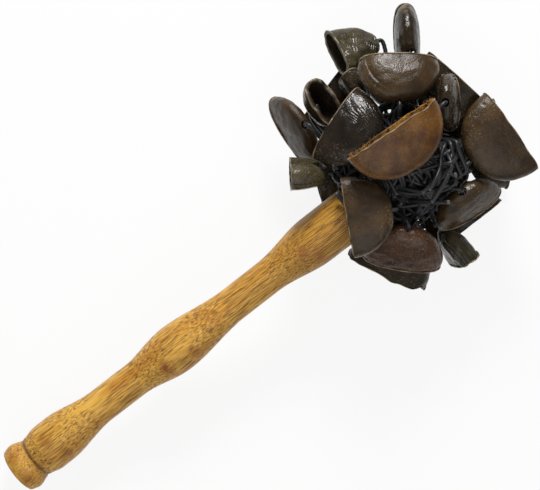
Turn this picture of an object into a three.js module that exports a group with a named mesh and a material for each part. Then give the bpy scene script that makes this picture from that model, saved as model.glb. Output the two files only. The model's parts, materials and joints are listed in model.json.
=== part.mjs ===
// Stick shaker: a turned wooden handle with a bunch of half nut shells tied round its head.
// Each shell is a nut's flattened stone cut in two, drilled through the middle of its back and
// held by a black cord that is knotted inside it. The shells swing on their cords and clack.
// Millimetres. The stick is modelled along +X from the middle of its butt face, then laid down
// with its butt knob and its lowest shells on the ground.
import * as THREE from 'three';

// Driving sizes of the turned stick: where each turning lies from the butt, and its radius there
const stickLength = 256;
const buttRadius = 11.8;
const knobAt = 4.5;
const knobRadius = 12.7;
const grooveAt = 11.4;
const grooveRadius = 11;
const gripAt = 20;
const gripLength = 6;
const gripRadius = 12.5;
const firstWaistAt = 54;
const secondWaistAt = 138;
const waistLength = 20;
const waistRadius = 8.7;
const middleAt = 101;
const middleRadius = 12.7;
const headAt = 189;
const headRadius = 12.5;
const endBevel = 1.5;

// Driving sizes of the cord
const cordDiameter = 2.2;
const cordClearance = 0.4;
const lashingFromEnd = 45;
const lashingGap = 0.75;
const lashingTurns = 14;
const lashingTail = 12;
const knotDiameter = 5;
const knotSlack = 1.1;

// Driving sizes of a nut and of the half shells sawn from it, and where the bunch's middle lies
const nutLength = 50;
const nutWidth = 48;
const nutThickness = 16;
const shellWall = 1.8;
const holeDiameter = 4.2;
const bunchFromEnd = 18;

// A nut's usual width and thickness as shares of its length: where either size grows past its
// share, the holes move apart as far as they would for a longer nut
const usualWidthShare = 0.96;
const usualThicknessShare = 0.32;

// Degrees: how far the head is lifted when the shaker lies on its knob and its lowest shells
const restTilt = 7.75;

// How square a nut's outline and its flattened section are: 2 is an ellipse
const outlinePower = 2.15;
const sectionPower = 2.5;

// Facets round a turning, a shell and a cord, and along the lashing, its tails and a tie
const turningSides = 24;
const shellSides = 16;
const cordSides = 6;
const stepsPerTurn = 24;
const tailSteps = 3;
const leastTieSteps = 4;
const diametersPerTieStep = 3;

// Degrees from the middle of a shell's back to each ring of its outer and its inner skin
const outerPolars = [28, 46, 62, 77, 90];
const innerPolars = [90, 72, 56, 44];

// A knot's rings: how far along it each lies, and its radius, as shares of the knot's own
const knotShares = [[0, cordDiameter / knotDiameter], [0.14, 0.75], [0.5, 1], [0.86, 0.75]];

const colours = {
  wood: 0xc89a52,
  shell: 0x3d3028,
  paleShell: 0x75502f,
  cord: 0x121212,
};

const cordRadius = cordDiameter / 2;
const lashingRadius = headRadius + cordClearance + cordRadius;
const lashedRadius = lashingRadius + cordRadius;
const lashingFrom = stickLength - lashingFromEnd;
const bunchAt = stickLength - bunchFromEnd;
const nutSpread = Math.max(nutLength, nutWidth / usualWidthShare, nutThickness / usualThicknessShare);

// Each shell's place and build. Where its hole lies: along the stick from the bunch's middle and
// out from the lashing, as shares of the spread of the nuts, and degrees round the stick from the
// top towards +Y. Then the way it points: heading and climb of its opening, and roll about that
// line, in degrees. Then its length, depth and thickness as shares of the nut's.
const shellShares = [
  ['shell_01', 0.26, 0.28, -6, 86, 8, 8, 1.0, 0.98, 1.0],
  ['shell_02', 0.66, 0.06, -61, -1, -16, 8, 0.9, 1.06, 0.94],
  ['shell_03', -0.17, 0.23, -25, 152, 0, 4, 0.78, 0.94, 0.88],
  ['shell_04', -0.18, 0.26, -53, -141, -42, -7, 0.8, 0.96, 0.94],
  ['shell_05', 0.49, 0.34, 58, 56, -30, 9, 0.8, 0.94, 1.06],
  ['shell_06', 0.06, 0.19, 42, 112, -19, 9, 0.8, 1.04, 1.0],
  ['shell_07', 0.43, 0.22, -69, -110, -62, -17, 0.72, 0.83, 0.81],
  ['shell_08', -0.31, 0.24, -106, -157, -32, -6, 0.84, 0.96, 0.88],
  ['shell_09', 0.03, 0.41, -112, -94, -14, 72, 0.56, 0.83, 0.81],
  ['shell_10', 0.83, 0.12, 41, -49, -86, -13, 0.56, 0.67, 0.7],
  ['shell_11', 0.59, 0.02, 116, 10, -8, 0, 0.8, 1.0, 0.81],
  ['shell_12', 0.59, 0.08, 180, 12, -14, 7, 0.8, 1.0, 0.75],
  ['shell_13', 0.63, 0.14, -132, -37, -19, 18, 0.56, 0.83, 0.75],
  ['shell_14', 0.65, 0.97, 114, 159, 28, 26, 0.5, 1.0, 0.84],
  ['shell_15', 0.83, 0.57, 100, 72, -68, 107, 0.8, 0.88, 0.81],
  ['shell_16', 0.2, 0.42, 100, 89, -15, 101, 0.52, 0.71, 0.7],
  ['shell_17', -0.26, 0.74, 104, -5, 62, 0, 0.5, 0.76, 0.84],
  ['shell_18', -0.37, 0.64, 85, 166, -65, -8, 0.76, 0.92, 0.75],
  ['shell_19', -0.48, 0.14, 77, 143, 7, 84, 0.68, 0.79, 0.94],
  ['shell_20', -0.21, 0.43, -162, -151, 5, -4, 0.84, 0.96, 0.88],
  ['shell_21', 0.22, 0.52, -153, -91, -3, -4, 0.84, 0.96, 0.88],
  ['shell_22', 0.6, 0.5, -171, -28, -8, -5, 0.8, 0.96, 0.88],
  ['shell_23', 0.39, 0.63, 149, 56, -6, 7, 0.76, 0.96, 0.81],
  ['shell_24', -0.01, 0.66, 136, 103, 2, -2, 0.84, 0.96, 0.88],
  ['shell_25', -0.28, 0.31, 155, 157, 6, 2, 0.8, 0.96, 0.88],
];
const paleShells = ['shell_01'];

// Degrees that a tie leaves the lashing beside its shell's hole, where the straight way is taken
const tieTurns = {
  shell_02: 13,
  shell_04: 6,
  shell_07: 7,
  shell_14: 14,
  shell_15: -10,
  shell_17: 17,
  shell_18: 11,
  shell_22: -21,
};

// How strongly a tie keeps its way out of the lashing and into its hole, as shares of its span,
// with the ties that have to arch over a neighbour or come down on their hole from above
const tieShares = [0.2, 0.2];
const archedTieShares = {
  shell_01: [0.5, 0.25],
  shell_10: [0.14, 0.16],
  shell_12: [0.12, 0.4],
  shell_13: [0.12, 0.4],
  shell_14: [0.35, 0.1],
  shell_15: [0.4, 0.1],
  shell_16: [0.2, 0.35],
  shell_17: [0.19, 0.5],
  shell_18: [0.33, 0.22],
};

// The cut ends of the knots on the lashing. Where each starts: along the stick from the bunch's
// middle, as a share of the nut's length, and degrees round it. Then its heading and climb in
// degrees, and its own length as a share of the nut's.
const cutEndShares = [
  ['cut_end_1', -0.04, -48, -38, 22, 0.44],
  ['cut_end_2', -0.1, -42, 172, 30, 0.18],
];
const cutEndStepShares = [0, 0.5, 1];

function makeMaterial(colour, roughness) {
  return new THREE.MeshStandardMaterial({ color: colour, roughness, metalness: 0 });
}

const materials = {
  wood: makeMaterial(colours.wood, 0.4),
  shell: makeMaterial(colours.shell, 0.35),
  paleShell: makeMaterial(colours.paleShell, 0.4),
  cord: makeMaterial(colours.cord, 0.5),
};

// A closed surface from rings of points: each ring joined to the next, its ends capped by fans
// on two poles, or the last ring joined to the first when there are no poles
function surfaceOf(rings, poles) {
  const sides = rings[0].length;
  const points = rings.flat();
  const faces = [];
  const joins = poles ? rings.length - 1 : rings.length;
  for (let ring = 0; ring < joins; ring += 1) {
    const next = (ring + 1) % rings.length;
    for (let side = 0; side < sides; side += 1) {
      const a = ring * sides + side;
      const b = ring * sides + ((side + 1) % sides);
      const c = next * sides + ((side + 1) % sides);
      const d = next * sides + side;
      faces.push(a, b, c, a, c, d);
    }
  }
  if (poles) {
    const first = points.length;
    const last = first + 1;
    const lastRing = (rings.length - 1) * sides;
    points.push(...poles);
    for (let side = 0; side < sides; side += 1) {
      const next = (side + 1) % sides;
      faces.push(first, next, side, last, lastRing + side, lastRing + next);
    }
  }
  const geometry = new THREE.BufferGeometry();
  geometry.setAttribute('position', new THREE.Float32BufferAttribute(points.flatMap((p) => p.toArray()), 3));
  geometry.setIndex(faces);
  geometry.computeVertexNormals();
  return geometry;
}

// The stick's turnings, joined by smooth swells: radius eases from each to the next. The grip and
// both waists run on at one radius for a stretch.
const turnings = [
  [knobAt, knobRadius, 3],
  [grooveAt, grooveRadius, 3],
  [gripAt, gripRadius, 1],
  [gripAt + gripLength, gripRadius, 7],
  [firstWaistAt, waistRadius, 1],
  [firstWaistAt + waistLength, waistRadius, 7],
  [middleAt, middleRadius, 7],
  [secondWaistAt, waistRadius, 1],
  [secondWaistAt + waistLength, waistRadius, 7],
  [headAt, headRadius, 1],
];

function stickGeometry() {
  const outline = [new THREE.Vector2(0, 0), new THREE.Vector2(buttRadius, 0)];
  outline.push(new THREE.Vector2((buttRadius + knobRadius) / 2, (knobRadius - buttRadius) / 2));
  turnings.forEach(([at, radius, steps], index) => {
    const [nextAt, nextRadius] = turnings[index + 1] ?? [stickLength - endBevel, radius];
    for (let step = 0; step < steps; step += 1) {
      const share = step / steps;
      const ease = (1 - Math.cos(Math.PI * share)) / 2;
      outline.push(new THREE.Vector2(radius + (nextRadius - radius) * ease, at + (nextAt - at) * share));
    }
  });
  outline.push(new THREE.Vector2(headRadius, stickLength - endBevel));
  outline.push(new THREE.Vector2(headRadius - endBevel, stickLength));
  outline.push(new THREE.Vector2(0, stickLength));
  return new THREE.LatheGeometry(outline, turningSides);
}

// A direction that no cord runs along, for turning a cord's first section
const anySide = new THREE.Vector3(0.31, 0.52, 0.79);

// A round section swept along points, with a radius for each, rounded off to a pole at each end
function sweptCord(path, radii) {
  const rings = [];
  let side = anySide.clone();
  path.forEach((point, index) => {
    const before = path[Math.max(index - 1, 0)];
    const after = path[Math.min(index + 1, path.length - 1)];
    const along = after.clone().sub(before).normalize();
    side = side.sub(along.clone().multiplyScalar(side.dot(along))).normalize();
    const up = along.clone().cross(side);
    const ring = [];
    for (let k = 0; k < cordSides; k += 1) {
      const turn = (2 * Math.PI * k) / cordSides;
      const reach = side.clone().multiplyScalar(Math.cos(turn)).addScaledVector(up, Math.sin(turn));
      ring.push(point.clone().addScaledVector(reach, radii[index]));
    }
    rings.push(ring);
  });
  const endCap = (point, inner, reach) => point.clone().add(point.clone().sub(inner).setLength(reach));
  const first = endCap(path[0], path[1], radii[0] / 2);
  const last = endCap(path.at(-1), path.at(-2), radii.at(-1) / 2);
  return surfaceOf(rings, [first, last]);
}

// The direction that stands off the stick, by degrees round it from the top towards +Y
function outwards(around) {
  const turn = THREE.MathUtils.degToRad(around);
  return new THREE.Vector3(0, Math.sin(turn), Math.cos(turn));
}

// How far along the stick the lashing has come after so many turns, which run from the top to -Y
function lashingAt(turn) {
  return lashingFrom + cordRadius + (cordDiameter + lashingGap) * turn;
}

// The place on a turn of the lashing that is nearest to a place along the stick and round it,
// but so far out from the stick's axis
function overTurn(along, around, radius) {
  const behind = around / 360;
  const wanted = (along - lashingAt(0)) / (lashingAt(1) - lashingAt(0));
  const first = Math.ceil(behind) - behind;
  const last = Math.floor(lashingTurns + behind) - behind;
  const turn = THREE.MathUtils.clamp(Math.round(wanted + behind) - behind, first, last);
  return outwards(around).multiplyScalar(radius).setX(lashingAt(turn));
}

// The lashing: one cord wound round the head, with both cut ends left standing off at a tangent
function lashingPath() {
  const path = [];
  for (let step = 0; step <= lashingTurns * stepsPerTurn; step += 1) {
    const turn = step / stepsPerTurn;
    path.push(outwards(-360 * turn).multiplyScalar(lashingRadius).setX(lashingAt(turn)));
  }
  const tangent = (from, to) => to.clone().sub(from).normalize();
  const startWay = tangent(path[1], path[0]);
  const endWay = tangent(path.at(-2), path.at(-1));
  for (let step = 0; step < tailSteps; step += 1) {
    path.unshift(path[0].clone().addScaledVector(startWay, lashingTail / tailSteps));
    path.push(path.at(-1).clone().addScaledVector(endWay, lashingTail / tailSteps));
  }
  return path;
}

function leastSelfGap(path) {
  let least = Infinity;
  const apart = Math.round(stepsPerTurn / 2);
  for (let i = 0; i < path.length; i += 1) {
    for (let j = i + apart; j < path.length; j += 1) {
      least = Math.min(least, path[i].distanceTo(path[j]) - cordDiameter);
    }
  }
  return least;
}

// A half shell about its own hole: length along X, depth along +Y to the sawn rim, thickness
// along Z. Both skins are halves of one flattened egg, the inner one a wall smaller all round.
function eggPoint(halfLength, depth, halfThickness, polar, round) {
  const x = Math.sin(polar) * Math.cos(round);
  const y = Math.cos(polar);
  const z = Math.sin(polar) * Math.sin(round);
  const flat = Math.abs(x) ** outlinePower + Math.abs(y) ** outlinePower;
  const size = (flat ** (sectionPower / outlinePower) + Math.abs(z) ** sectionPower) ** (1 / sectionPower);
  return new THREE.Vector3((halfLength * x) / size, depth * (1 - y / size), (halfThickness * z) / size);
}

function holeEdge(halfLength, depth, halfThickness, round) {
  const x = (holeDiameter / 2) * Math.cos(round);
  const z = (holeDiameter / 2) * Math.sin(round);
  const section = 1 - Math.abs(z / halfThickness) ** sectionPower;
  const outline = section ** (outlinePower / sectionPower) - Math.abs(x / halfLength) ** outlinePower;
  return new THREE.Vector3(x, depth * (1 - outline ** (1 / outlinePower)), z);
}

function shellGeometry(halfLength, depth, halfThickness) {
  const rings = [];
  const addRing = (pointAt) => {
    const ring = [];
    for (let side = 0; side < shellSides; side += 1) {
      ring.push(pointAt((2 * Math.PI * side) / shellSides));
    }
    rings.push(ring);
  };
  const inner = [halfLength - shellWall, depth - shellWall, halfThickness - shellWall];
  const inward = new THREE.Vector3(0, shellWall, 0);
  addRing((round) => holeEdge(halfLength, depth, halfThickness, -round));
  for (const polar of outerPolars) {
    addRing((round) => eggPoint(halfLength, depth, halfThickness, THREE.MathUtils.degToRad(polar), -round));
  }
  for (const polar of innerPolars) {
    addRing((round) => eggPoint(...inner, THREE.MathUtils.degToRad(polar), -round).add(inward));
  }
  addRing((round) => holeEdge(...inner, -round).add(inward));
  return surfaceOf(rings);
}

const rightAngle = 90;

// The direction with a heading, from the stick's own way towards +Y, and a climb above its level
function pointing(heading, climb) {
  const turn = THREE.MathUtils.degToRad(heading);
  const rise = THREE.MathUtils.degToRad(climb);
  const level = Math.cos(rise);
  return new THREE.Vector3(level * Math.cos(turn), level * Math.sin(turn), Math.sin(rise));
}

function shellPlace([name, alongShare, outShare, around, heading, climb, roll]) {
  const bank = THREE.MathUtils.degToRad(roll);
  const depthWay = pointing(heading, climb);
  const level = pointing(heading, climb + rightAngle);
  const across = depthWay.clone().cross(level);
  const faceWay = level.clone().multiplyScalar(Math.cos(bank)).addScaledVector(across, Math.sin(bank));
  const lengthWay = depthWay.clone().cross(faceWay);
  const hole = outwards(around).multiplyScalar(lashedRadius + outShare * nutSpread);
  hole.x = bunchAt + alongShare * nutSpread;
  return { name, hole, around, lengthWay, depthWay, faceWay };
}

// A tie: out of the lashing, curving to its shell's hole, through it and into the knot inside
function tieGeometry({ name, hole, around, depthWay }) {
  const footAround = around + (tieTurns[name] ?? 0);
  const away = outwards(footAround);
  const foot = overTurn(hole.x, footAround, lashedRadius + cordClearance + cordRadius / 2);
  const mouth = hole.clone().addScaledVector(depthWay, -cordRadius);
  const inside = hole.clone().addScaledVector(depthWay, shellWall + knotSlack);
  const span = foot.distanceTo(mouth);
  const [leaveShare, enterShare] = archedTieShares[name] ?? tieShares;
  const curve = new THREE.CubicBezierCurve3(
    foot,
    foot.clone().addScaledVector(away, leaveShare * span),
    mouth.clone().addScaledVector(depthWay, -enterShare * span),
    mouth,
  );
  const steps = Math.max(leastTieSteps, Math.round(span / (diametersPerTieStep * cordDiameter)));
  const path = curve.getPoints(steps);
  const radii = path.map(() => cordRadius);
  for (const [depthShare, radiusShare] of knotShares) {
    path.push(inside.clone().addScaledVector(depthWay, depthShare * knotDiameter));
    radii.push((radiusShare * knotDiameter) / 2);
  }
  return sweptCord(path, radii);
}

// A cut end of a knot: straight, from just off the lashing
function cutEndGeometry([, alongShare, around, heading, climb, lengthShare]) {
  const way = pointing(heading, climb);
  const reach = cordRadius * Math.sin(way.angleTo(outwards(around)));
  const foot = overTurn(bunchAt + alongShare * nutLength, around, lashedRadius + cordClearance + reach);
  const length = lengthShare * nutLength;
  const path = cutEndStepShares.map((share) => foot.clone().addScaledVector(way, share * length));
  return sweptCord(path, path.map(() => cordRadius));
}

const model = new THREE.Group();
const shaker = new THREE.Group();
model.add(shaker);

function addPiece(name, geometry, material, parent = shaker) {
  const mesh = new THREE.Mesh(geometry, material);
  mesh.name = name;
  parent.add(mesh);
  return mesh;
}

const stick = addPiece('handle', stickGeometry(), materials.wood);
stick.rotation.z = -Math.PI / 2;

const windings = lashingPath();
addPiece('lashing', sweptCord(windings, windings.map(() => cordRadius)), materials.cord);
console.log(`lashing: ${lashingTurns} turns, least gap to itself ${leastSelfGap(windings).toFixed(2)} mm`);

for (const row of shellShares) {
  const place = shellPlace(row);
  const [lengthShare, depthShare, thicknessShare] = row.slice(-3);
  const halfLength = (lengthShare * nutLength) / 2;
  const depth = (depthShare * nutWidth) / 2;
  const halfThickness = (thicknessShare * nutThickness) / 2;
  const material = paleShells.includes(place.name) ? materials.paleShell : materials.shell;
  const mesh = addPiece(place.name, shellGeometry(halfLength, depth, halfThickness), material);
  const turn = new THREE.Matrix4().makeBasis(place.lengthWay, place.depthWay, place.faceWay);
  mesh.quaternion.setFromRotationMatrix(turn);
  mesh.position.copy(place.hole);
  addPiece(place.name.replace('shell', 'tie'), tieGeometry(place), materials.cord);
}

for (const row of cutEndShares) {
  addPiece(row[0], cutEndGeometry(row), materials.cord);
}

// Laid down, then moved so that the origin is under the middle of it, on the ground
shaker.rotation.y = -THREE.MathUtils.degToRad(restTilt);
model.updateMatrixWorld(true);
const box = new THREE.Box3().setFromObject(model, true);
shaker.position.set(-(box.min.x + box.max.x) / 2, -(box.min.y + box.max.y) / 2, -box.min.z);

export default model;
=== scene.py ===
"""A stick shaker: half nut shells hung on black cords round the head of a turned wooden stick."""

import json
import math

import bpy
import numpy as np
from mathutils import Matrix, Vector
from mathutils.bvhtree import BVHTree


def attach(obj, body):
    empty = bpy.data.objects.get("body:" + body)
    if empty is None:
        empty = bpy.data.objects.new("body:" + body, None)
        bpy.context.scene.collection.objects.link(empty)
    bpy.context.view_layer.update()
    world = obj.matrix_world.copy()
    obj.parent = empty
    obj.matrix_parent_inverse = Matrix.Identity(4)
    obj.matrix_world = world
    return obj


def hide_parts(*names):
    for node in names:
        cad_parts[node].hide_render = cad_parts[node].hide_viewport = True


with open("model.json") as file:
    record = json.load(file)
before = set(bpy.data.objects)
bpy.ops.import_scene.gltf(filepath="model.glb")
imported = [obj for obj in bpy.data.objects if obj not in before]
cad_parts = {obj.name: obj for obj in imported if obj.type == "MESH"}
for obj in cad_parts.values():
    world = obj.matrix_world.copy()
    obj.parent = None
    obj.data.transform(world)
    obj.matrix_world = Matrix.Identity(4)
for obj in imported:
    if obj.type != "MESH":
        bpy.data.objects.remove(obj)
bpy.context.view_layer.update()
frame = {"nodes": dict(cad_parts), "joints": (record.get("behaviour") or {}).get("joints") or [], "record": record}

# The stick: one length of straight-grained golden hardwood, turned to a butt knob, a grip, a
# middle swell and a plain head, then sealed with clear gloss lacquer. It lies with its head
# lifted, so its own lines are read off its square-cut butt.
mount = frame["record"]["mounts"][0]
butt = np.array(mount["pos_m"])
along = -np.array(mount["axis"]) / np.linalg.norm(mount["axis"])
left = np.array([0.0, 1.0, 0.0])
stick_lines = np.stack([along, left, np.cross(along, left)])

stick_length = 0.256
butt_radius = 0.0118
head_radius = 0.0125
waist_radius = 0.0087
end_bevel = 0.0015
butt_round = 0.0009
turned_rings = 0.00005
ring_fading = 0.02
turned_wobble = 0.00022
wobble_spacing = 0.03

# Each turning: how far along the stick it lies, and its radius.
turnings = [
    (0.0045, 0.0127),
    (0.0114, 0.0110),
    (0.020, 0.0125),
    (0.026, 0.0125),
    (0.054, waist_radius),
    (0.074, waist_radius),
    (0.101, 0.0127),
    (0.138, waist_radius),
    (0.158, waist_radius),
    (0.189, head_radius),
    (stick_length - end_bevel, head_radius),
]
ring_spacing = 0.0009
notch_depth = 0.0005
notch_width = 0.0006
stick_sides = 120
stick_rows = 520
# How far past the knob's groove the wood is darkest, and how far that darkening reaches.
darkening_beyond_groove = 0.0008
darkening_reach = 0.0011
# Over this stretch the wood turns a darker amber towards the head.
head_end_from, head_end_to = 0.135, 0.190
pore_depth = 0.0002

golden = (0.77, 0.41, 0.055, 1)
honey = (0.62, 0.285, 0.032, 1)
straw = (0.86, 0.56, 0.15, 1)
amber = (0.55, 0.185, 0.02, 1)
head_end_amber = (0.40, 0.19, 0.022, 1)
pore_brown = (0.17, 0.066, 0.012, 1)
groove_dark_brown = (0.09, 0.032, 0.008, 1)
smudge_brown = (0.30, 0.088, 0.013, 1)

# Brown smudges in the lacquer: how far along the stick each lies, and how far to its left.
smudges = (
    (0.0050, -0.0060),
    (0.0050, 0.0060),
    (0.0236, 0.0030),
    (0.0275, -0.0085),
    (0.0933, -0.0025),
    (0.0933, -0.0065),
    (0.1094, -0.0076),
    (0.1810, -0.0015),
    (0.1860, -0.0074),
)
smudge_reach = (0.0030, 0.0035)


def in_row(points):
    """Points on the stick's own lines, measured from its butt, as points in the row's frame."""
    return butt + points @ stick_lines


def on_stick(points):
    """Points in the row's frame, measured along the stick's own lines from its butt."""
    return (points - butt) @ stick_lines.T


def closed_skin(name, grid, poles=True, tags=None):
    """A closed mesh from a grid of points, whose columns run round it, or from a stack of such
    grids. Its first and last rows are closed by fans on two poles, or joined to each other. Faces
    point outwards."""
    grids = grid.reshape(-1, *grid.shape[-3:])
    copies, rows, columns = grids.shape[:3]
    index = np.arange(copies * rows * columns).reshape(copies, rows, columns)
    points = grids.reshape(-1, 3)
    if not poles:
        index = np.concatenate([index, index[:, :1]], axis=1)
    turned = np.roll(index, -1, axis=2)
    quads = np.stack([index[:, :-1], turned[:, :-1], turned[:, 1:], index[:, 1:]], axis=-1).reshape(-1, 4)
    faces = quads.tolist()
    if poles:
        pole = np.arange(copies)[:, None] + index.size + np.zeros(columns, int)
        points = np.vstack([points, grids[:, 0].mean(1), grids[:, -1].mean(1)])
        faces += np.stack([turned[:, 0], index[:, 0], pole], axis=-1).reshape(-1, 3).tolist()
        faces += np.stack([index[:, -1], turned[:, -1], pole + copies], axis=-1).reshape(-1, 3).tolist()
    a, b, c, d = (points[quads[:, corner]] for corner in range(4))
    if np.einsum("ij,ij->i", np.cross(c - a, d - b), a + b + c + d).sum() < 0:
        faces = [face[::-1] for face in faces]
    mesh = bpy.data.meshes.new(name)
    mesh.from_pydata(points.tolist(), [], faces)
    mesh.shade_smooth()
    for tag, values in (tags or {}).items():
        spread = np.zeros(len(points), np.float32)
        spread[: values.size] = values.reshape(-1)
        mesh.attributes.new(tag, "FLOAT", "POINT").data.foreach_set("value", spread)
    piece = bpy.data.objects.new(name, mesh)
    bpy.context.scene.collection.objects.link(piece)
    return piece


def ripple(points, wavelength, seed, count=16):
    """A smooth random field, about -1 to 1: the sum of sine waves of about one wavelength, each
    running its own way."""
    chance = np.random.default_rng(seed)
    ways = chance.normal(size=(count, 3))
    ways /= np.linalg.norm(ways, axis=1, keepdims=True)
    ways /= wavelength * chance.uniform(0.75, 1.35, (count, 1))
    phases = chance.uniform(0, 2 * np.pi, count)
    return np.sin(2 * np.pi * points @ ways.T + phases).sum(-1) * np.sqrt(1.2 / count)


def ease(value, low, high):
    """0 below low and 1 above high, with a smooth step between them."""
    share = np.clip((value - low) / (high - low), 0, 1)
    return share * share * (3 - 2 * share)


def turned_stick():
    """The stick's grid: its radius eases from turning to turning by half cosine waves, with faint
    rings left by the gouge and a slow wobble, and a small round at both ends."""
    at = np.array([0.0] + [place for place, _ in turnings])
    radius = np.array([butt_radius] + [size for _, size in turnings])
    length = np.linspace(0, stick_length, stick_rows)
    span = np.clip(np.searchsorted(at, length, side="right") - 1, 0, len(at) - 2)
    share = np.clip((length - at[span]) / (at[span + 1] - at[span]), 0, 1)
    size = radius[span] + (radius[span + 1] - radius[span]) * (1 - np.cos(np.pi * share)) / 2
    rings = turned_rings * np.sin(2 * np.pi * length / ring_spacing)
    size += rings * ripple(np.stack([length, length, length], -1), ring_fading, 5)
    to_end = np.minimum(length, stick_length - length)
    inset = butt_round - np.sqrt(np.maximum(0, butt_round**2 - np.maximum(0, butt_round - to_end) ** 2))
    notch = np.exp(-(((length - turnings[1][0]) / notch_width) ** 2))
    size = size - inset - notch_depth * notch
    around = np.linspace(0, 2 * np.pi, stick_sides, endpoint=False)
    ring = np.stack([np.zeros_like(around), np.sin(around), np.cos(around)], -1)
    grid = size[:, None, None] * ring[None] + length[:, None, None] * np.array([1.0, 0.0, 0.0])
    wobble = 1 + ripple(grid * [0.4, 1, 1], wobble_spacing, 8)
    grid[..., 1:] *= 1 - turned_wobble / head_radius * wobble[..., None]
    return in_row(grid)


class Value:
    """A socket of a material. Sums and products of it add the Math nodes they need."""

    def __init__(self, paint, socket):
        self.paint = paint
        self.socket = socket

    def maths(self, operation, first, second):
        return self.paint.node("ShaderNodeMath", {"operation": operation}, {0: first, 1: second})

    def __add__(self, other):
        return self.maths("ADD", self, other)

    def __mul__(self, other):
        return self.maths("MULTIPLY", self, other)

    def over(self, low, high):
        """0 below low and 1 above high, with a smooth step between them."""
        sockets = {"Value": self, "From Min": low, "From Max": high}
        return self.paint.node("ShaderNodeMapRange", {"interpolation_type": "SMOOTHSTEP"}, sockets)

    __radd__ = __add__
    __rmul__ = __mul__


class Paint:
    """A procedural material, with one method that adds any node."""

    def __init__(self, name):
        self.material = bpy.data.materials.new(name)
        self.material.use_nodes = True
        self.tree = self.material.node_tree
        self.shader = self.tree.nodes["Principled BSDF"]

    def node(self, kind, settings, sockets, output=0):
        """Adds a node: its settings first, then the values or links of its sockets."""
        made = self.tree.nodes.new(kind)
        for setting, value in settings.items():
            setattr(made, setting, value)
        for socket, value in sockets.items():
            self.put(made.inputs[socket], value)
        return Value(self, made.outputs[output])

    def put(self, socket, value):
        """Links a value to a socket, or sets the socket's own number or colour."""
        if isinstance(value, Value):
            self.tree.links.new(value.socket, socket)
        else:
            socket.default_value = value

    def set(self, **sockets):
        """Puts values on the shader; a socket's name is written with low lines for spaces."""
        for socket, value in sockets.items():
            self.put(self.shader.inputs[socket.replace("_", " ")], value)
        return self.material

    def where(self, scale=(1, 1, 1), location=(0, 0, 0), rotation=(0, 0, 0)):
        """The piece's own coordinates in metres, turned, moved and then stretched."""
        own = self.node("ShaderNodeTexCoord", {}, {}, "Object")
        placed = {"Vector": own, "Location": location, "Rotation": rotation}
        moved = self.node("ShaderNodeMapping", {}, placed)
        return self.node("ShaderNodeMapping", {}, {"Vector": moved, "Scale": scale})

    def noise(self, vector, scale, detail, rough=0.5):
        sockets = {"Vector": vector, "Scale": scale, "Detail": detail, "Roughness": rough}
        return self.node("ShaderNodeTexNoise", {}, sockets)

    def blend(self, factor, first, second):
        """One colour fading into another."""
        return self.node("ShaderNodeMix", {"data_type": "RGBA"}, {0: factor, 6: first, 7: second}, 2)

    def tag(self, name):
        """A value that the piece's mesh carries at each point."""
        return self.node("ShaderNodeAttribute", {"attribute_name": name}, {}, "Fac")

    def bump(self, height, distance, strength):
        sockets = {"Height": height, "Distance": distance, "Strength": strength}
        return self.node("ShaderNodeBump", {}, sockets)


def lacquered_wood():
    """Golden wood: broad honey and golden bands, long straw streaks, amber stains and short dark
    pores along the grain, darker towards the head, with brown smudges, and darker in the groove
    by the knob."""
    paint = Paint("lacquered_wood")
    lean = math.asin(along[2])
    start = tuple(on_stick(np.zeros(3)))

    def grain(length_scale, cross_scale, detail, rough=0.5):
        scale = (length_scale, cross_scale, cross_scale)
        return paint.noise(paint.where(scale, start, (0, lean, 0)), 1.0, detail, rough)

    bands = grain(9, 95, 3)
    streaks = grain(34, 1250, 3, 0.65)
    pores = grain(95, 2900, 0)
    more_pores = grain(160, 3700, 0)
    lines = grain(14, 1700, 2)
    dense = grain(24, 120, 2)
    stains = grain(26, 70, 2)
    colour = paint.blend(bands.over(0.34, 0.6), honey, golden)
    colour = paint.blend(streaks.over(0.42, 0.66) * 0.5, colour, straw)
    colour = paint.blend(stains.over(0.58, 0.74) * 0.4, colour, amber)
    colour = paint.blend(lines.over(0.55, 0.68) * dense.over(0.4, 0.62) * 0.5, colour, pore_brown)
    # A darker amber towards the head.
    colour = paint.blend(paint.tag("toward_head") * 0.6, colour, head_end_amber)
    dashes = (pores.over(0.56, 0.62) + more_pores.over(0.58, 0.64)) * dense.over(0.2, 0.46)
    colour = paint.blend(dashes * 0.75, colour, pore_brown)
    colour = paint.blend(paint.tag("smudged") * streaks.over(0.2, 0.6) * 0.75, colour, smudge_brown)
    # The wood is darker in the groove by the knob.
    groove_darkening = paint.tag("groove_darkening") * streaks.over(0.25, 0.5)
    colour = paint.blend(groove_darkening * 0.85, colour, groove_dark_brown)
    return paint.set(
        Base_Color=colour,
        Roughness=0.36 + dashes * 0.2,
        Specular_IOR_Level=0.32,
        Normal=paint.bump(dashes * -0.6 + streaks * 0.15, pore_depth, 0.5),
        Coat_Weight=0.07,
        Coat_Roughness=0.2,
    )


stick_grid = turned_stick()
stick_place = on_stick(stick_grid)[..., 0]
groove_at = turnings[1][0]
groove_darkening = np.exp(-(((stick_place - groove_at - darkening_beyond_groove) / darkening_reach) ** 2))
toward_head = ease(stick_place, head_end_from, head_end_to)
stick_side = on_stick(stick_grid)[..., 1]
along_reach, side_reach = smudge_reach
smudged = sum(
    np.exp(-(((stick_place - place) / along_reach) ** 2) - ((stick_side - side) / side_reach) ** 2)
    for place, side in smudges
)
tags = {"groove_darkening": groove_darkening, "toward_head": toward_head, "smudged": smudged}
stick = closed_skin("turned_stick", stick_grid, tags=tags)
stick.data.materials.append(lacquered_wood())
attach(stick, "stick")
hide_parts("handle")

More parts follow.
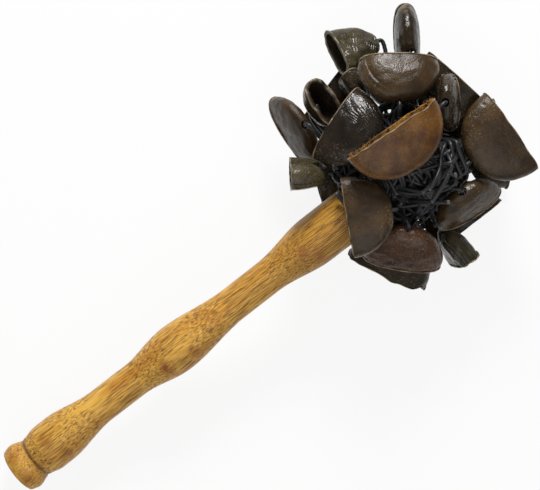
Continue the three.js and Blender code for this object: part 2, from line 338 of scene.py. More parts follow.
# The lashing: one black waxed cord wound fourteen times round the stick's head, under the shells.
# Every shell's own cord starts from it. Both its ends stand off where they were cut.
cord_radius = 0.0011
cord_clearance = 0.0004
lashing_start_from_end = 0.045
lashing_from = stick_length - lashing_start_from_end
lashing_pitch = 0.00295
lashing_turns = 14
lashing_tail = 0.012
lashing_radius = head_radius + cord_clearance + cord_radius
lashed_radius = lashing_radius + cord_radius
twist_pitch = 0.0062
ply_groove_share = 0.13
cord_sides = 18
cord_step = 0.0005
rows_per_turn = 120
shortest_rows = 24
stub_rows = 48
knot_rows = 64
wall_rows = 10
cord_lump_spacing = 0.005
cord_lump_share = 0.06
cord_fibre_depth = 0.00012

cord_black = (0.010, 0.010, 0.011, 1)
cord_grey = (0.045, 0.046, 0.046, 1)
# Grey of the cut cord ends. On the trimmed stubs it is also partly painted sheen.
cut_grey_and_sheen = (0.13, 0.135, 0.125, 1)


def outwards(around):
    """The way off the stick's axis at degrees round it, from its top towards its left."""
    turn = np.radians(around)
    return np.stack([np.zeros_like(turn), np.sin(turn), np.cos(turn)], -1)


def lashing_at(turn):
    """How far along the stick the lashing has come after so many turns."""
    return lashing_from + cord_radius + lashing_pitch * turn


def unit(vectors):
    """Vectors made one long."""
    return vectors / (np.linalg.norm(vectors, axis=-1, keepdims=True) + 1e-12)


def run_along(path):
    """How far along its path each point lies, or each point of each path."""
    steps = np.linalg.norm(np.diff(path, axis=-2), axis=-1)
    return np.concatenate([np.zeros_like(steps[..., :1]), np.cumsum(steps, axis=-1)], axis=-1)


def cord_grid(path, radius, columns=cord_sides, groove_share=ply_groove_share):
    """A twisted cord of three plies, or a stack of them: a round section carried along a path
    without turning, its radius dipping between the plies, which wind round it at a steady pitch."""
    tangents = unit(np.gradient(path, axis=-2))
    side = np.cross(tangents[..., 0, :], [0.31, 0.52, 0.79])
    sides = np.empty_like(path)
    for row in range(path.shape[-2]):
        tangent = tangents[..., row, :]
        side = unit(side - tangent * (side * tangent).sum(-1, keepdims=True))
        sides[..., row, :] = side
    ups = np.cross(tangents, sides)
    around = np.linspace(0, 2 * np.pi, columns, endpoint=False)
    lay = 1.5 * (around - 2 * np.pi * run_along(path)[..., None] / twist_pitch)
    reach = radius[..., None] * (1 - groove_share * (1 - np.abs(np.cos(lay))) ** 2)
    ring = np.cos(around)[:, None] * sides[..., None, :] + np.sin(around)[:, None] * ups[..., None, :]
    return path[..., None, :] + reach[..., None] * ring


def cut_square(path, radius):
    """The radius along a cord whose ends are cut square, their edges a little crushed, and how
    near to a cut each point is, from 0 to 1. The same for a stack of cords."""
    run = run_along(path)
    to_end = np.minimum(run, run[..., -1:] - run)
    size = radius * (0.82 + 0.18 * ease(to_end, 0.0, 0.5 * radius))
    return size, 1 - ease(to_end, 0.0, 1.2 * radius)


def cut_cord(name, path, radius=cord_radius):
    """A length of cord with both ends cut square, and a little thinner in places."""
    size, cut = cut_square(path, radius)
    size *= 1 + cord_lump_share * ripple(path, cord_lump_spacing, 3)
    grid = cord_grid(path, np.minimum(size, radius))
    return closed_skin(name, in_row(grid), tags={"cut": np.repeat(cut, cord_sides)})


def waxed_cord(name, streak, shine):
    """Black cord: fine paler flecks of fibre, a dull wax bloom, and greyer cut ends."""
    paint = Paint(name)
    fibres = paint.noise(paint.where(), 2600, 2, 0.7)
    bloom = paint.noise(paint.where(), 160, 2)
    colour = paint.blend(fibres.over(0.5, 0.75) * bloom.over(0.35, 0.7), cord_black, streak)
    colour = paint.blend(paint.tag("cut") * 0.8, colour, cut_grey_and_sheen)
    relief = paint.bump(fibres, cord_fibre_depth, 0.5)
    return paint.set(Base_Color=colour, Roughness=shine + bloom * 0.15, Normal=relief)


def wound_path():
    """The winding: even turns from the top towards the right, with a straight tail at each end."""
    turn = np.linspace(0, lashing_turns, lashing_turns * rows_per_turn + 1)
    path = outwards(-360 * turn) * lashing_radius
    path[:, 0] = lashing_at(turn)
    tail = np.linspace(cord_step, lashing_tail, shortest_rows)[:, None]
    start_way = unit(path[0] - path[1])
    end_way = unit(path[-1] - path[-2])
    return np.vstack([path[0] + tail[::-1] * start_way, path, path[-1] + tail * end_way])


black_cord = waxed_cord("waxed_cord", cord_grey, 0.34)
lashing = cut_cord("head_lashing", wound_path())
lashing.data.materials.append(black_cord)
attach(lashing, "stick")
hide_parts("lashing")

# The cut ends: stubs of cord left standing where the lashing's knots were trimmed. They are
# stiff with wax and catch the light, and their grey streaks are partly painted sheen. Each has a place
# along the stick, as a share of a nut's length from the bunch's middle, degrees round it, a heading, a climb and a
# length as a share of a nut's.
nut_length = 0.050
head_past_bunch = 0.018
bunch_at = stick_length - head_past_bunch
cut_ends = {
    "cut_end_1": (-0.04, -48, -38, 22, 0.44),
    "cut_end_2": (-0.1, -42, 172, 30, 0.18),
}


def over_turn(place, around, radius):
    """The place on a turn of the lashing nearest to a place along the stick and round it, but so
    far out from the stick's axis."""
    behind = around / 360
    wanted = (place - lashing_at(0)) / lashing_pitch
    first = math.ceil(behind) - behind
    last = math.floor(lashing_turns + behind) - behind
    turn = min(max(round(wanted + behind) - behind, first), last)
    foot = outwards(float(around)) * radius
    foot[0] = lashing_at(turn)
    return foot


def pointing(heading, climb):
    """The way with a heading from the stick's own towards its left, and a climb above its level."""
    turn, rise = math.radians(heading), math.radians(climb)
    return np.array([math.cos(rise) * math.cos(turn), math.cos(rise) * math.sin(turn), math.sin(rise)])


# Grey flecks on the stubs: the cord's fibres, and partly painted sheen.
sheen_grey_cord = waxed_cord("trimmed_cord_painted_sheen", cut_grey_and_sheen, 0.26)
for name, (share, around, heading, climb, length_share) in cut_ends.items():
    way = pointing(heading, climb)
    lean = math.sqrt(1 - way.dot(outwards(float(around))) ** 2)
    foot_radius = lashed_radius + cord_clearance + cord_radius * lean
    foot = over_turn(bunch_at + share * nut_length, around, foot_radius)
    run = np.linspace(0, length_share * nut_length, stub_rows)[:, None]
    stub = cut_cord(name + "_stub", foot + run * way)
    stub.data.materials.append(sheen_grey_cord)
    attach(stub, "stick")
    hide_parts(name)

# The ties: a short black cord for each shell, out of the lashing, through the hole in the shell's
# back, and stopped inside by an overhand knot with its end cut short.
wall = 0.0018
knot_slack = 0.0011
knot_diameter = 0.005
knot_cord_radius = 0.00092
knot_tail = 0.0022

# How many degrees round the stick a tie's foot lies from its shell's hole, and how far the tie
# leans off its foot and into the hole, as shares of the span between them.
tie_turns = {"02": 13, "04": 6, "07": 7, "14": 14, "15": -10, "17": 17, "18": 11, "22": -21}
tie_shares = (0.2, 0.2)
arched_tie_shares = {
    "01": (0.5, 0.25),
    "10": (0.14, 0.16),
    "12": (0.12, 0.4),
    "13": (0.12, 0.4),
    "14": (0.35, 0.1),
    "15": (0.4, 0.1),
    "16": (0.2, 0.35),
    "17": (0.19, 0.5),
    "18": (0.33, 0.22),
}


def own_lines(name):
    """A half shell's hole, own lines (length, depth towards its sawn rim, thickness) and half
    length, depth and half thickness, read off its solid: depth runs from the joint in its hole
    through its middle, and thickness is the way in which it is flattest."""
    mesh = frame["nodes"][name].data
    points = np.empty(len(mesh.vertices) * 3)
    mesh.vertices.foreach_get("co", points)
    points = np.unique(np.round(points.reshape(-1, 3), 7), axis=0)
    middle = points.mean(0)
    pivot = next(joint["pos_m"] for joint in frame["joints"] if joint["child"] == name)
    deep = unit(middle - pivot)
    thick = np.linalg.eigh(np.cov((points - middle).T))[1][:, 0]
    thick = unit(thick - deep * thick.dot(deep)) * (1 if thick[2] > 0 else -1)
    own = np.stack([np.cross(deep, thick), deep, thick])
    spread = points @ own.T
    low, high = spread.min(0), spread.max(0)
    hole = np.array([(low[0] + high[0]) / 2, low[1], (low[2] + high[2]) / 2]) @ own
    return hole, own, (high[0] - low[0]) / 2, high[1] - low[1], (high[2] - low[2]) / 2


def overhand(centre, way, across):
    """An overhand knot pulled tight: one pass round a trefoil about the cord's own line."""
    turn = np.linspace(0.35, 2 * np.pi - 0.35, knot_rows)
    size = (knot_diameter / 2 - knot_cord_radius) / 3
    flat = np.stack([np.sin(turn) + 2 * np.sin(2 * turn), np.cos(turn) - 2 * np.cos(2 * turn)], -1)
    rise = -1.3 * np.sin(3 * turn) + (turn - np.pi) * 0.35
    other = np.cross(way, across)
    return centre + size * (flat[:, :1] * across + flat[:, 1:] * other + rise[:, None] * way)


def tied_path(name):
    """A tie's route: a curve from a turn of the lashing into the hole, on through the wall, once
    round the knot, and out to its cut end. Each corner is rubbed round by averaging."""
    number = name.split("_")[1]
    hole, own, _, _, _ = own_lines(name)
    hole = on_stick(hole)
    way = own[1] @ stick_lines.T
    across = own[0] @ stick_lines.T
    around = math.degrees(math.atan2(hole[1], hole[2])) + tie_turns.get(number, 0)
    away = outwards(around)
    foot = over_turn(hole[0], around, lashed_radius + cord_clearance + cord_radius / 2)
    mouth = hole - way * cord_radius
    span = np.linalg.norm(mouth - foot)
    leave, enter = arched_tie_shares.get(number, tie_shares)
    first, second = foot + away * leave * span, mouth - way * enter * span
    share = np.linspace(0, 1, max(shortest_rows, int(span / cord_step)))[:, None]
    rest = 1 - share
    curve = rest**3 * foot + 3 * rest**2 * share * first
    curve = curve + 3 * rest * share**2 * second + share**3 * mouth
    inside = hole + way * (wall + knot_slack)
    through = mouth + np.linspace(0.08, 1, wall_rows)[:, None] * (inside - mouth)
    knot = overhand(inside + way * knot_diameter / 2, way, across)
    tip = knot[-1] + way * knot_tail + (knot[-1] - knot[-6]) * 0.4
    tail = knot[-1] + np.linspace(0.1, 1, wall_rows)[:, None] * (tip - knot[-1])
    path = np.vstack([curve, through, knot, tail])
    for _ in range(4):
        path[1:-1] = (path[:-2] + 2 * path[1:-1] + path[2:]) / 4
    size = np.full(len(path), cord_radius)
    start = len(curve) + len(through)
    size[start:] = knot_cord_radius
    return path, np.convolve(np.pad(size, 4, "edge"), np.full(9, 1 / 9), "valid")


shells = sorted(node for node in frame["nodes"] if node.startswith("shell_"))
for name in shells:
    path, size = tied_path(name)
    tie = cut_cord(name.replace("shell", "knotted_tie"), path, size)
    tie.data.materials.append(black_cord)
    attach(tie, "stick")
    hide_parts(name.replace("shell", "tie"))

# The slack turns: what was left of the ties' cord, wound round the head and over its end like yarn
# on a ball. It fills the hollow between the shells, as far out as they leave room when they swing,
# and leaves the cut ends in sight.
slack_strands = 110
end_strands = 42
slack_rows = 112
slack_sides = 7
winding_turns = 1.3
end_turns = 0.46
slack_drift = 0.3
head_past_ball = 0.012
ball_middle = stick_length - head_past_ball
ball_back = 0.030
ball_reach = (0.0175, 0.0350)
ball_unevenness = 0.0009
ball_settling = 3
swing_stops = 5
swing_clearance = 0.0007
probe_rings = ((0.0, 1), (3.5, 6), (7.5, 8))
probe_far = 0.1


def solid_triangles(name):
    """The corners and the triangles of a solid of the part."""
    mesh = frame["nodes"][name].data
    points = np.empty(len(mesh.vertices) * 3)
    corners = np.empty(len(mesh.loops), int)
    mesh.vertices.foreach_get("co", points)
    mesh.loops.foreach_get("vertex_index", corners)
    return points.reshape(-1, 3), corners.reshape(-1, 3)


def kept_free():
    """What the slack turns stay clear of, as one tree of triangles at which rays are cast: the cut
    ends, and all shells at even stops of their joints' ranges. A point turns about its joint's axis
    by Rodrigues' formula."""
    solids = [solid_triangles(name) for name in cut_ends]
    for joint in frame["joints"]:
        points, corners = solid_triangles(joint["child"])
        axis = np.array(joint["axis"])
        arm = points - joint["pos_m"]
        for turn in np.radians(np.linspace(*joint["range_deg"], swing_stops)):
            turned = arm * math.cos(turn) + np.cross(axis, arm) * math.sin(turn)
            turned += np.outer(arm @ axis, axis) * (1 - math.cos(turn))
            solids.append((turned + joint["pos_m"], corners))
    before = np.cumsum([0] + [len(points) for points, _ in solids])
    points = np.vstack([points for points, _ in solids])
    corners = np.vstack([corners + start for (_, corners), start in zip(solids, before)])
    return BVHTree.FromPolygons(points.tolist(), corners.tolist())


def room_for_cord(starts, ways):
    """How far out a cord may lie along each way: short of the nearest hit of a cone of rays."""
    tree = kept_free()
    across = unit(np.cross(ways, [0.31, 0.52, 0.79]))
    other = np.cross(ways, across)
    origins = in_row(starts.reshape(-1, 3)).tolist()
    room = np.full(len(origins), probe_far)
    for lean, count in probe_rings:
        for turn in np.linspace(0, 2 * np.pi, count, endpoint=False):
            aside = math.cos(turn) * across + math.sin(turn) * other
            probes = math.cos(math.radians(lean)) * ways + math.sin(math.radians(lean)) * aside
            probes = (probes.reshape(-1, 3) @ stick_lines).tolist()
            hits = [tree.ray_cast(start, way, probe_far)[3] for start, way in zip(origins, probes)]
            room = np.minimum(room, [probe_far if hit is None else hit for hit in hits])
    return room.reshape(ways.shape[:-1]) - cord_radius - swing_clearance


def settled(reach):
    """Distances along each strand with their steps smoothed, and never more than they were: the
    least of each point's neighbours, then the mean of those."""
    for settle in (np.min, np.mean):
        padded = np.pad(reach, ((0, 0), (ball_settling, ball_settling)), "edge")
        window = np.lib.stride_tricks.sliding_window_view(padded, 2 * ball_settling + 1, axis=1)
        reach = settle(window, axis=-1)
    return reach


def slack_paths():
    """The strands' routes. Each follows a great circle that leans at random and drifts as it goes:
    most wind round the head, and the rest pass over its end. In front of the ball's middle a strand
    stands off that point, and behind it off the stick's axis."""
    chance = np.random.default_rng(11)
    over_end = (np.arange(slack_strands) < end_strands)[:, None]
    lean = unit(chance.normal(size=(slack_strands, 3)) * np.where(over_end, [0.4, 1, 1], [2.2, 1, 1]))
    front = unit(np.array([1.0, 0, 0]) - lean * lean[:, :1])
    side = np.cross(lean, front)
    begin = np.where(over_end, -end_turns / 2, chance.uniform(0, 1, (slack_strands, 1)))
    share = np.linspace(0, 1, slack_rows)
    turn = 2 * np.pi * (begin + np.where(over_end, end_turns, winding_turns) * share)[..., None]
    toward = np.cos(turn) * front[:, None] + np.sin(turn) * side[:, None]
    toward = toward + lean[:, None] * slack_drift * (share[:, None] - 0.5)
    toward = unit(toward + 0.09 * np.stack([ripple(toward, 0.9, seed) for seed in (1, 2, 3)], -1))
    ways = np.where(toward[..., :1] > 0, toward, unit(toward * [0, 1, 1]))
    starts = np.zeros_like(toward)
    starts[..., 0] = ball_middle + np.minimum(toward[..., 0], 0) * ball_back
    off_axis = np.linalg.norm(ways[..., 1:], axis=-1) + 1e-6
    past_end = (stick_length + cord_radius - ball_middle) / np.maximum(ways[..., 0], 1e-6)
    on_lashing = np.minimum((lashed_radius + cord_radius) / off_axis, past_end)
    wanted = chance.uniform(*ball_reach, (slack_strands, 1)) + ball_unevenness * ripple(toward, 0.6, 4)
    reach = np.minimum(np.maximum(wanted, on_lashing), room_for_cord(starts, ways))
    reach = settled(np.maximum(reach, on_lashing - 2 * cord_radius))
    return starts + ways * reach[..., None]


slack_path = slack_paths()
slack_size, slack_cut = cut_square(slack_path, cord_radius)
slack_grid = in_row(cord_grid(slack_path, slack_size, slack_sides, 0.0))
slack = closed_skin("slack_turns", slack_grid, tags={"cut": np.repeat(slack_cut, slack_sides)})
slack.data.materials.append(black_cord)
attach(slack, "stick")

# The half shells: flat, hard seeds sawn in two and hollowed, drilled through the back and rubbed
# to a dark gloss. Their skins are lumpy and finely pitted, some wrinkled, and each sawn rim is
# worn pale. One is a russet seed with ragged fibre left inside its rim.
hole_radius = 0.0021
outline_power = 2.15
section_power = 2.5
rim_round_share = 0.3
near_hole_polar = 32

# What each shell's skin is like: its finish, how deep its lumps, wrinkles and folded lip are and
# how ragged its sawn rim is, all in metres. Wrinkles have a spacing, follow each other in a way that
# leans so many degrees from its length, stray so far from straight, and lie round a place on it, at
# shares of its half length and its depth, out to a reach. A corner is the share by which its length
# draws in at the rim, and an end, 1 or -1 along its length, may be rubbed pale.
plain_skin = {
    "finish": "dark",
    "lumps": 0.00028,
    "wrinkles": 0.0,
    "spacing": 0.0011,
    "lean": 20.0,
    "stray": 0.0006,
    "patch": (0.0, 0.4, 0.010),
    "lip": 0.0,
    "ragged": 0.0002,
    "corner": 0.0,
    "rubbed_end": 0,
}
skins = {
    "shell_01": {"finish": "russet", "lumps": 0.00018, "ragged": 0.0005},
    "shell_02": {"finish": "umber", "lumps": 0.00018},
    "shell_03": {"finish": "umber", "lumps": 0.00022, "ragged": 0.0003},
    "shell_04": {"finish": "plum", "lumps": 0.0003, "lip": 0.0002, "corner": 0.05},
    "shell_05": {
        "finish": "umber",
        "lumps": 0.0003,
        "lip": 0.00045,
        "corner": 0.06,
        "rubbed_end": 1,
    },
    "shell_06": {
        "finish": "black",
        "wrinkles": 0.00014,
        "lumps": 0.0003,
        "lean": -20.0,
        "patch": (0.4, 0.4, 0.008),
    },
    "shell_07": {"finish": "umber", "lumps": 0.00035},
    "shell_08": {"ragged": 0.0012, "lumps": 0.0004},
    "shell_09": {"finish": "olive", "lip": 0.0006, "lumps": 0.0006},
    "shell_10": {"lumps": 0.0004, "lip": 0.0004},
    "shell_14": {
        "finish": "olive",
        "wrinkles": 0.00027,
        "lumps": 0.0006,
        "spacing": 0.0012,
        "lean": 70.0,
        "patch": (0.0, 0.3, 0.011),
    },
    "shell_15": {"lumps": 0.0003, "corner": 0.08, "rubbed_end": -1},
    "shell_17": {"ragged": 0.0009, "lumps": 0.0003},
    "shell_18": {"finish": "umber", "lumps": 0.0003},
    "shell_19": {"finish": "olive", "lumps": 0.0003},
}
shell_tones = {
    "black": ((0.009, 0.006, 0.0035, 1), (0.026, 0.017, 0.010, 1)),
    "dark": ((0.014, 0.009, 0.004, 1), (0.042, 0.027, 0.013, 1)),
    "umber": ((0.026, 0.014, 0.005, 1), (0.070, 0.039, 0.014, 1)),
    "plum": ((0.030, 0.013, 0.006, 1), (0.084, 0.037, 0.018, 1)),
    "olive": ((0.020, 0.016, 0.007, 1), (0.080, 0.064, 0.034, 1)),
    "russet": ((0.062, 0.023, 0.005, 1), (0.175, 0.075, 0.012, 1)),
}
shell_gloss = {"black": 0.16, "dark": 0.18, "umber": 0.28, "plum": 0.2, "olive": 0.14, "russet": 0.26}
worn_rim = (0.40, 0.30, 0.19, 1)
pale_speck_and_glint = (0.27, 0.225, 0.14, 1)
fibre_orange = (0.50, 0.235, 0.035, 1)
# A dark brown for the fine pits, and for the painted shade in each shell's hollow.
pit_dark_and_hollow_shade = (0.016, 0.0095, 0.006, 1)
pit_relief = 0.00032

# How far apart the waves of each unevenness of a shell lie, how deep those are that every shell
# has alike, and over how many rows of its grid the rim, its wear and its fringe fade.
notch_spacing, fine_notch_spacing, notch_ring_radius = 0.009, 0.0035, 0.01
lump_spacing, fine_lump_spacing = 0.013, 0.0048
dent_spacing, dent_depth = 0.0031, 0.0001
hollow_spacing, fine_hollow_spacing, hollow_depth = 0.0042, 0.0019, 0.0006
stray_spacing = 0.010
patch_spacing = 0.007
wear_spacing, end_wear_spacing = 0.006, 0.004
lip_shares = (0.91, 0.80)
lip_width_share = 0.028
rim_fading_rows, worn_rows, fringe_rows = 8.0, 2.4, 9.0
shell_columns = 200
wrinkled_columns = 440
outer_rows = 80
rim_rows = 7
inner_rows = 40


def egg(size, polar, around):
    """Points on half a flattened egg, from the middle of its back: length, depth, thickness. Its
    outline and its section are superellipses."""
    x = np.sin(polar) * np.cos(around)
    y = np.cos(polar) * np.ones_like(around)
    z = np.sin(polar) * np.sin(around)
    flat = np.abs(x) ** outline_power + np.abs(y) ** outline_power
    reach = (flat ** (section_power / outline_power) + np.abs(z) ** section_power) ** (1 / section_power)
    return np.stack([size[0] * x / reach, size[1] * (1 - y / reach), size[2] * z / reach], -1)


def egg_depth(size, x, z):
    """How deep the egg's back lies under a place on its length and thickness."""
    section = 1 - np.abs(z / size[2]) ** section_power
    outline = section ** (outline_power / section_power) - np.abs(x / size[0]) ** outline_power
    return size[1] * (1 - np.maximum(outline, 0) ** (1 / outline_power))


def skin_rows(size, rows, around):
    """One skin from the edge of its round hole out to its rim: rows that turn from a circle into
    the egg's own rings, then the egg's rings, closer together near the rim."""
    meeting = egg(size, np.radians(near_hole_polar), around)
    share = np.linspace(0, 1, rows // 4, endpoint=False)[:, None]
    x = (1 - share) * hole_radius * np.cos(around) + share * meeting[:, 0]
    z = (1 - share) * hole_radius * np.sin(around) + share * meeting[:, 2]
    near = np.stack([x, egg_depth(size, x, z), z], -1)
    share = np.linspace(0, 1, rows - rows // 4)[:, None]
    polar = 90 - (90 - near_hole_polar) * (1 - share) ** 1.4
    return np.concatenate([near, egg(size, np.radians(polar), around[None])])


def rim_notches(around, seed):
    """How far a ragged rim is cut back round its edge: a few wide notches and many small ones."""
    ring = np.stack([np.cos(around), np.zeros_like(around), np.sin(around)], -1) * notch_ring_radius
    wide = np.maximum(0, ripple(ring, notch_spacing, seed + 1)) ** 1.5
    return wide + 0.35 * (1 + ripple(ring, fine_notch_spacing, seed + 2))


def sunk_skin(grid, skin, half_length, depth, seed):
    """How deep each point of a skin is sunk by its lumps, dents, wrinkles and folded lip."""
    sunk = 0.5 * skin["lumps"] * (1 + ripple(grid, lump_spacing, seed + 5))
    sunk += 0.22 * skin["lumps"] * (1 + ripple(grid, fine_lump_spacing, seed + 6))
    sunk += dent_depth * np.maximum(0, ripple(grid, dent_spacing, seed + 7, 30) - 0.75)
    lean = math.radians(skin["lean"])
    stray = skin["stray"] * ripple(grid, stray_spacing, seed + 8)
    wave = grid @ [math.cos(lean), math.sin(lean), 0.35] + stray
    at_length, at_depth, patch_reach = skin["patch"]
    away = np.hypot(grid[..., 0] - at_length * half_length, grid[..., 1] - at_depth * depth)
    patch = np.exp(-((away / patch_reach) ** 4)) * (0.65 + 0.35 * ripple(grid, patch_spacing, seed + 9))
    sunk += skin["wrinkles"] * patch * (1 + np.sin(2 * np.pi * wave / skin["spacing"]))
    outline = np.abs(grid[..., 0] / half_length) ** outline_power
    outline = (outline + np.abs(1 - grid[..., 1] / depth) ** outline_power) ** (1 / outline_power)
    end = ease(-grid[..., 0] / half_length, 0.25, 0.7)
    for lip_share in lip_shares:
        sunk += skin["lip"] * end * np.exp(-(((outline - lip_share) / lip_width_share) ** 2))
    return sunk


def rough_hollow(grid, seed):
    """How deep the hollow's roughness sinks each point of it."""
    coarse = 0.55 * np.abs(ripple(grid, hollow_spacing, seed + 3))
    return hollow_depth * (coarse + 0.25 * ripple(grid, fine_hollow_spacing, seed + 4) ** 2)


def skin_normals(grid, depth):
    """The way off the skin at each point of a half shell's grid."""
    by_row = np.gradient(grid, axis=0)
    by_column = np.roll(grid, -1, axis=1) - np.roll(grid, 1, axis=1)
    normals = unit(np.cross(by_row, by_column))
    middle_row = outer_rows // 2
    if (normals[middle_row] * (grid[middle_row] - [0, depth, 0])).sum() < 0:
        return -normals
    return normals


def half_shell(name, skin):
    """A half shell's grid, own lines and tags: its outer skin, its rounded rim and its inner skin,
    joined through the hole, then sunk along its normals by the unevenness of its skin."""
    seed = int(name.split("_")[1]) * 10
    hole, own, half_length, depth, half_thickness = own_lines(name)
    columns = wrinkled_columns if skin["wrinkles"] else shell_columns
    around = np.linspace(0, 2 * np.pi, columns, endpoint=False)
    outer_size = np.array([half_length, depth, half_thickness])
    outer = skin_rows(outer_size, outer_rows, around)
    inner = skin_rows(outer_size - wall, inner_rows, around)[::-1] + [0, wall, 0]
    share = np.linspace(0, 1, rim_rows + 2)[1:-1, None, None]
    rim = outer[-1] + (inner[0] - outer[-1]) * share
    grid = np.concatenate([outer, rim, inner])
    row = np.arange(len(grid))[:, None] * np.ones(columns)
    on_rim = (row >= outer_rows - 1) & (row <= outer_rows + rim_rows)
    across_rim = np.clip((row - outer_rows + 1) / (rim_rows + 1), 0, 1)
    inside = np.where(on_rim, across_rim, row >= outer_rows)

    cut = skin["ragged"] * rim_notches(around, seed)
    cut = cut + wall * rim_round_share * (2 * across_rim - 1) ** 6 * on_rim
    grid[..., 1] -= cut * ease(grid[..., 1] / depth, 0.55, 1.0)
    grid[..., 0] *= 1 - skin["corner"] * ease(grid[..., 1] / depth, 0.68, 1.0) ** 2

    off_rim = np.abs(row - (outer_rows + rim_rows / 2)) / rim_fading_rows
    sunk = sunk_skin(grid, skin, half_length, depth, seed) * (1 - 0.6 * np.exp(-(off_rim**2)))
    sunk += inside * rough_hollow(grid, seed) * ease(off_rim, 0.6, 1.6)
    sunk *= np.where(inside > 0.5, 0.35, 1.0)
    grid = grid - skin_normals(grid, depth) * sunk[..., None]

    worn = np.exp(-(((row - outer_rows + 1) / worn_rows) ** 2))
    worn = worn * (0.65 + 0.45 * ripple(grid, wear_spacing, seed + 2))
    at_end = ease(skin["rubbed_end"] * grid[..., 0] / half_length, 0.82, 0.96)
    worn = worn + 0.45 * at_end * ease(ripple(grid, end_wear_spacing, seed + 4), -0.6, 0.5)
    past_rim = np.maximum(0, row - outer_rows - rim_rows)
    fringe = inside * np.exp(-((past_rim / fringe_rows) ** 2))
    tags = {"inside": inside, "worn": np.clip(worn, 0, 1), "sawn": on_rim, "fringe": fringe}
    return hole + grid @ own, own, tags


def rubbed_shell(name):
    """Hard seed shell: dark and lighter brown in soft clouds, fine dark pits, pale specks that are
    partly painted glints, a worn pale line at the sawn rim, and a duller hollow painted darker as
    shade. Russet shell has patches of orange fibre inside its rim."""
    paint = Paint(name + "_shell")
    deep, light = shell_tones[name]
    clouds = paint.noise(paint.where(), 95, 4, 0.6)
    cast = paint.noise(paint.where(location=(0.3, 0.1, 0.2)), 38, 2)
    pits = paint.noise(paint.where(), 1150, 1)
    grains = paint.noise(paint.where(location=(0.7, 0.2, 0.1)), 1150, 2, 0.6)
    inside = paint.tag("inside")
    colour = paint.blend((clouds * 0.65 + cast * 0.35).over(0.36, 0.66), deep, light)
    colour = paint.blend(pits.over(0.62, 0.74) * 0.6, colour, pit_dark_and_hollow_shade)
    # Pale specks on the skin, partly painted glints that stand for the sparkle of its pits.
    colour = paint.blend(grains.over(0.61, 0.68) * cast.over(0.4, 0.58) * 0.55, colour, pale_speck_and_glint)
    # Painted shade: the hollow inside the shell is darkened.
    colour = paint.blend(inside * 0.6, colour, pit_dark_and_hollow_shade)
    if name == "russet":
        ragged = paint.noise(paint.where(), 520, 3, 0.7).over(0.36, 0.56)
        colour = paint.blend(paint.tag("fringe") * ragged * cast.over(0.42, 0.55), colour, fibre_orange)
    colour = paint.blend(paint.tag("sawn") * 0.35, colour, light)
    colour = paint.blend(paint.tag("worn") * 0.75, colour, worn_rim)
    scuffs = paint.noise(paint.where(), 260, 3, 0.65)
    rough = shell_gloss[name] + scuffs.over(0.35, 0.8) * 0.2 + inside * 0.3
    height = clouds * 0.25 + pits * -0.35 + grains * 0.45
    relief = paint.bump(height, pit_relief, 0.8)
    return paint.set(Base_Color=colour, Roughness=rough, Specular_IOR_Level=0.33, Normal=relief)


shell_finishes = {name: rubbed_shell(name) for name in shell_tones}
shell_grids = {}
for name in shells:
    skin = {**plain_skin, **skins.get(name, {})}
    grid, own, tags = half_shell(name, skin)
    shell_grids[name] = grid, own
    shell = closed_skin(name.replace("shell", "half_shell"), grid, poles=False, tags=tags)
    shell.data.materials.append(shell_finishes[skin["finish"]])
    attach(shell, name)
    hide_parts(name)
    "pale_nut_shell" if skin["finish"] == "russet" else "nut_shell"

# The fibres: coarse orange lint of the seed that the saw tore loose inside the russet shell's rim.
fibre_count = 340
fibre_lengths = (0.0007, 0.0023)
fibre_radius = 0.00011
fibre_rows = 6
fibre_sides = 4


def torn_fibres(name):
    """Fibres that start on the inner edge of a shell's rim, more of them at its left end. Each runs
    out of the mouth, inwards and along the rim by chance, and bends aside with its share squared."""
    chance = np.random.default_rng(5)
    grid, own = shell_grids[name]
    edge = grid[outer_rows + rim_rows]
    reach = (edge - edge.mean(0)) @ own[0]
    odds = 0.25 + 3 * ease(-reach, reach.max() * 0.15, reach.max() * 0.8)
    odds = odds + ease(reach, reach.max() * 0.3, reach.max())
    column = chance.choice(len(edge), fibre_count, p=odds / odds.sum())
    root = edge[column]
    inwards = unit(edge.mean(0) - root)
    beside = unit(np.roll(edge, -1, axis=0) - edge)[column]
    way = own[1] * chance.uniform(0.1, 0.7, (fibre_count, 1))
    way = way + inwards * chance.uniform(0.0, 0.6, (fibre_count, 1))
    way = unit(way + beside * chance.normal(0, 0.6, (fibre_count, 1)))
    bend = unit(chance.normal(size=(fibre_count, 3)))
    share = np.linspace(0, 1, fibre_rows)[:, None]
    length = chance.uniform(*fibre_lengths, (fibre_count, 1, 1))
    path = root[:, None] + length * (way[:, None] * share + 0.35 * bend[:, None] * share**2)
    radius = fibre_radius * (1 - 0.6 * share[:, 0]) * np.ones((fibre_count, 1))
    return cord_grid(path, radius, fibre_sides, 0.0)


def seed_lint():
    """Dry orange-brown fibre, darker in places."""
    paint = Paint("seed_lint")
    shade = paint.noise(paint.where(), 420, 2).over(0.35, 0.6)
    colour = paint.blend(shade, shell_tones["russet"][0], fibre_orange)
    return paint.set(Base_Color=colour, Roughness=0.7)


fibres = closed_skin("rim_fibres", torn_fibres("shell_01"))
fibres.data.materials.append(seed_lint())
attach(fibres, "shell_01")

# The floor: a plain white sheet that the shaker lies on. Seen straight, or in the gloss of the
# lacquer, most of its white is its own, so that the shadow on it stays faint.
floor_reach = 3.0
floor_white = (0.86, 0.86, 0.86, 1)
floor_own_white = 0.88
corners = [(-floor_reach, -floor_reach, 0), (floor_reach, -floor_reach, 0),
           (floor_reach, floor_reach, 0), (-floor_reach, floor_reach, 0)]
floor_mesh = bpy.data.meshes.new("floor")
floor_mesh.from_pydata(corners, [], [(0, 1, 2, 3)])
floor = bpy.data.objects.new("floor", floor_mesh)
bpy.context.scene.collection.objects.link(floor)


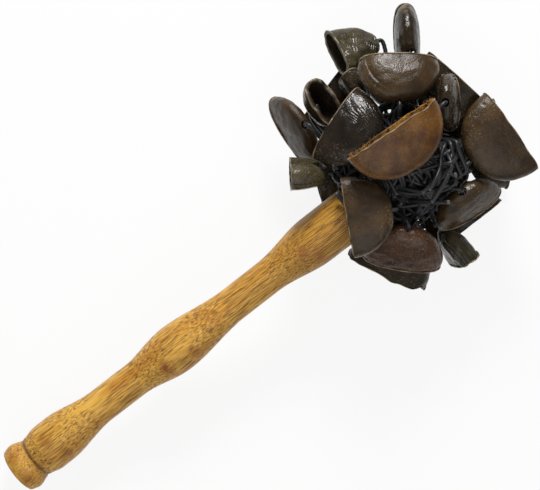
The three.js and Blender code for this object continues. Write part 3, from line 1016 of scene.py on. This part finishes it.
def white_sheet():
    """A dull white that is partly its own light for the camera and for glossy and clear surfaces."""
    paint = Paint("floor_sheet")
    paint.set(Base_Color=floor_white, Roughness=0.8)
    kinds = ("Camera", "Glossy", "Transmission")
    rays = [paint.node("ShaderNodeLightPath", {}, {}, "Is %s Ray" % kind) for kind in kinds]
    seen = (rays[0] + rays[1] + rays[2]) * floor_own_white
    own = paint.node("ShaderNodeEmission", {}, {"Color": (1, 1, 1, 1), "Strength": 1.0})
    plain = Value(paint, paint.shader.outputs[0])
    mixed = paint.node("ShaderNodeMixShader", {}, {0: seen, 1: plain, 2: own})
    paint.put(paint.tree.nodes["Material Output"].inputs["Surface"], mixed)
    return paint.material


floor.data.materials.append(white_sheet())

# The light: one soft lamp beyond the top of the picture, a larger and weaker one opposite, and a
# pale room all round, which the glossy shells show as soft glints.
picture_turn = -37.9
room_light = 0.24
key_size, key_power = 0.36, 15.0
key_beyond, key_over = 1.0, (0.05, 0, 0.7)
fill_size, fill_power = 1.2, 5.0
fill_beyond, fill_over = -0.7, (0.2, 0, 1.0)
up_turn = math.radians(-picture_turn)
picture_up = np.array([math.sin(up_turn), math.cos(up_turn), 0.0])
key_place = picture_up * key_beyond + key_over
fill_place = picture_up * fill_beyond + fill_over
world = bpy.data.worlds.new("pale_room")
world.use_nodes = True
world.node_tree.nodes["Background"].inputs["Color"].default_value = (1, 1, 1, 1)
world.node_tree.nodes["Background"].inputs["Strength"].default_value = room_light
bpy.context.scene.world = world


def soft_lamp(name, place, size, power):
    """A square lamp that faces the shaker's head."""
    lamp = bpy.data.lights.new(name, "AREA")
    lamp.size = size
    lamp.energy = power
    made = bpy.data.objects.new(name, lamp)
    made.location = place
    middle = in_row(np.array([bunch_at * 0.8, 0, 0]))
    way = Vector(middle - place)
    made.rotation_euler = way.to_track_quat("-Z", "Y").to_euler()
    bpy.context.scene.collection.objects.link(made)


soft_lamp("key_lamp", key_place, key_size, key_power)
soft_lamp("fill_lamp", fill_place, fill_size, fill_power)

# The camera looks straight down from 1.2 m, with the stick running up to the right.
camera_height = 1.1552
camera_aside = (-0.0682, 0.0116)
sensor_width = 36
lens_length = 159.4
camera_place = in_row(np.array([bunch_at, 0, 0])) + [*camera_aside, camera_height]
lens_data = bpy.data.cameras.new("camera")
lens_data.sensor_width = sensor_width
lens_data.lens = lens_length
camera = bpy.data.objects.new("camera", lens_data)
camera.location = camera_place
camera.rotation_euler = (0, 0, math.radians(picture_turn))
bpy.context.scene.collection.objects.link(camera)
bpy.context.scene.camera = camera
bpy.context.scene.view_settings.view_transform = "Standard"
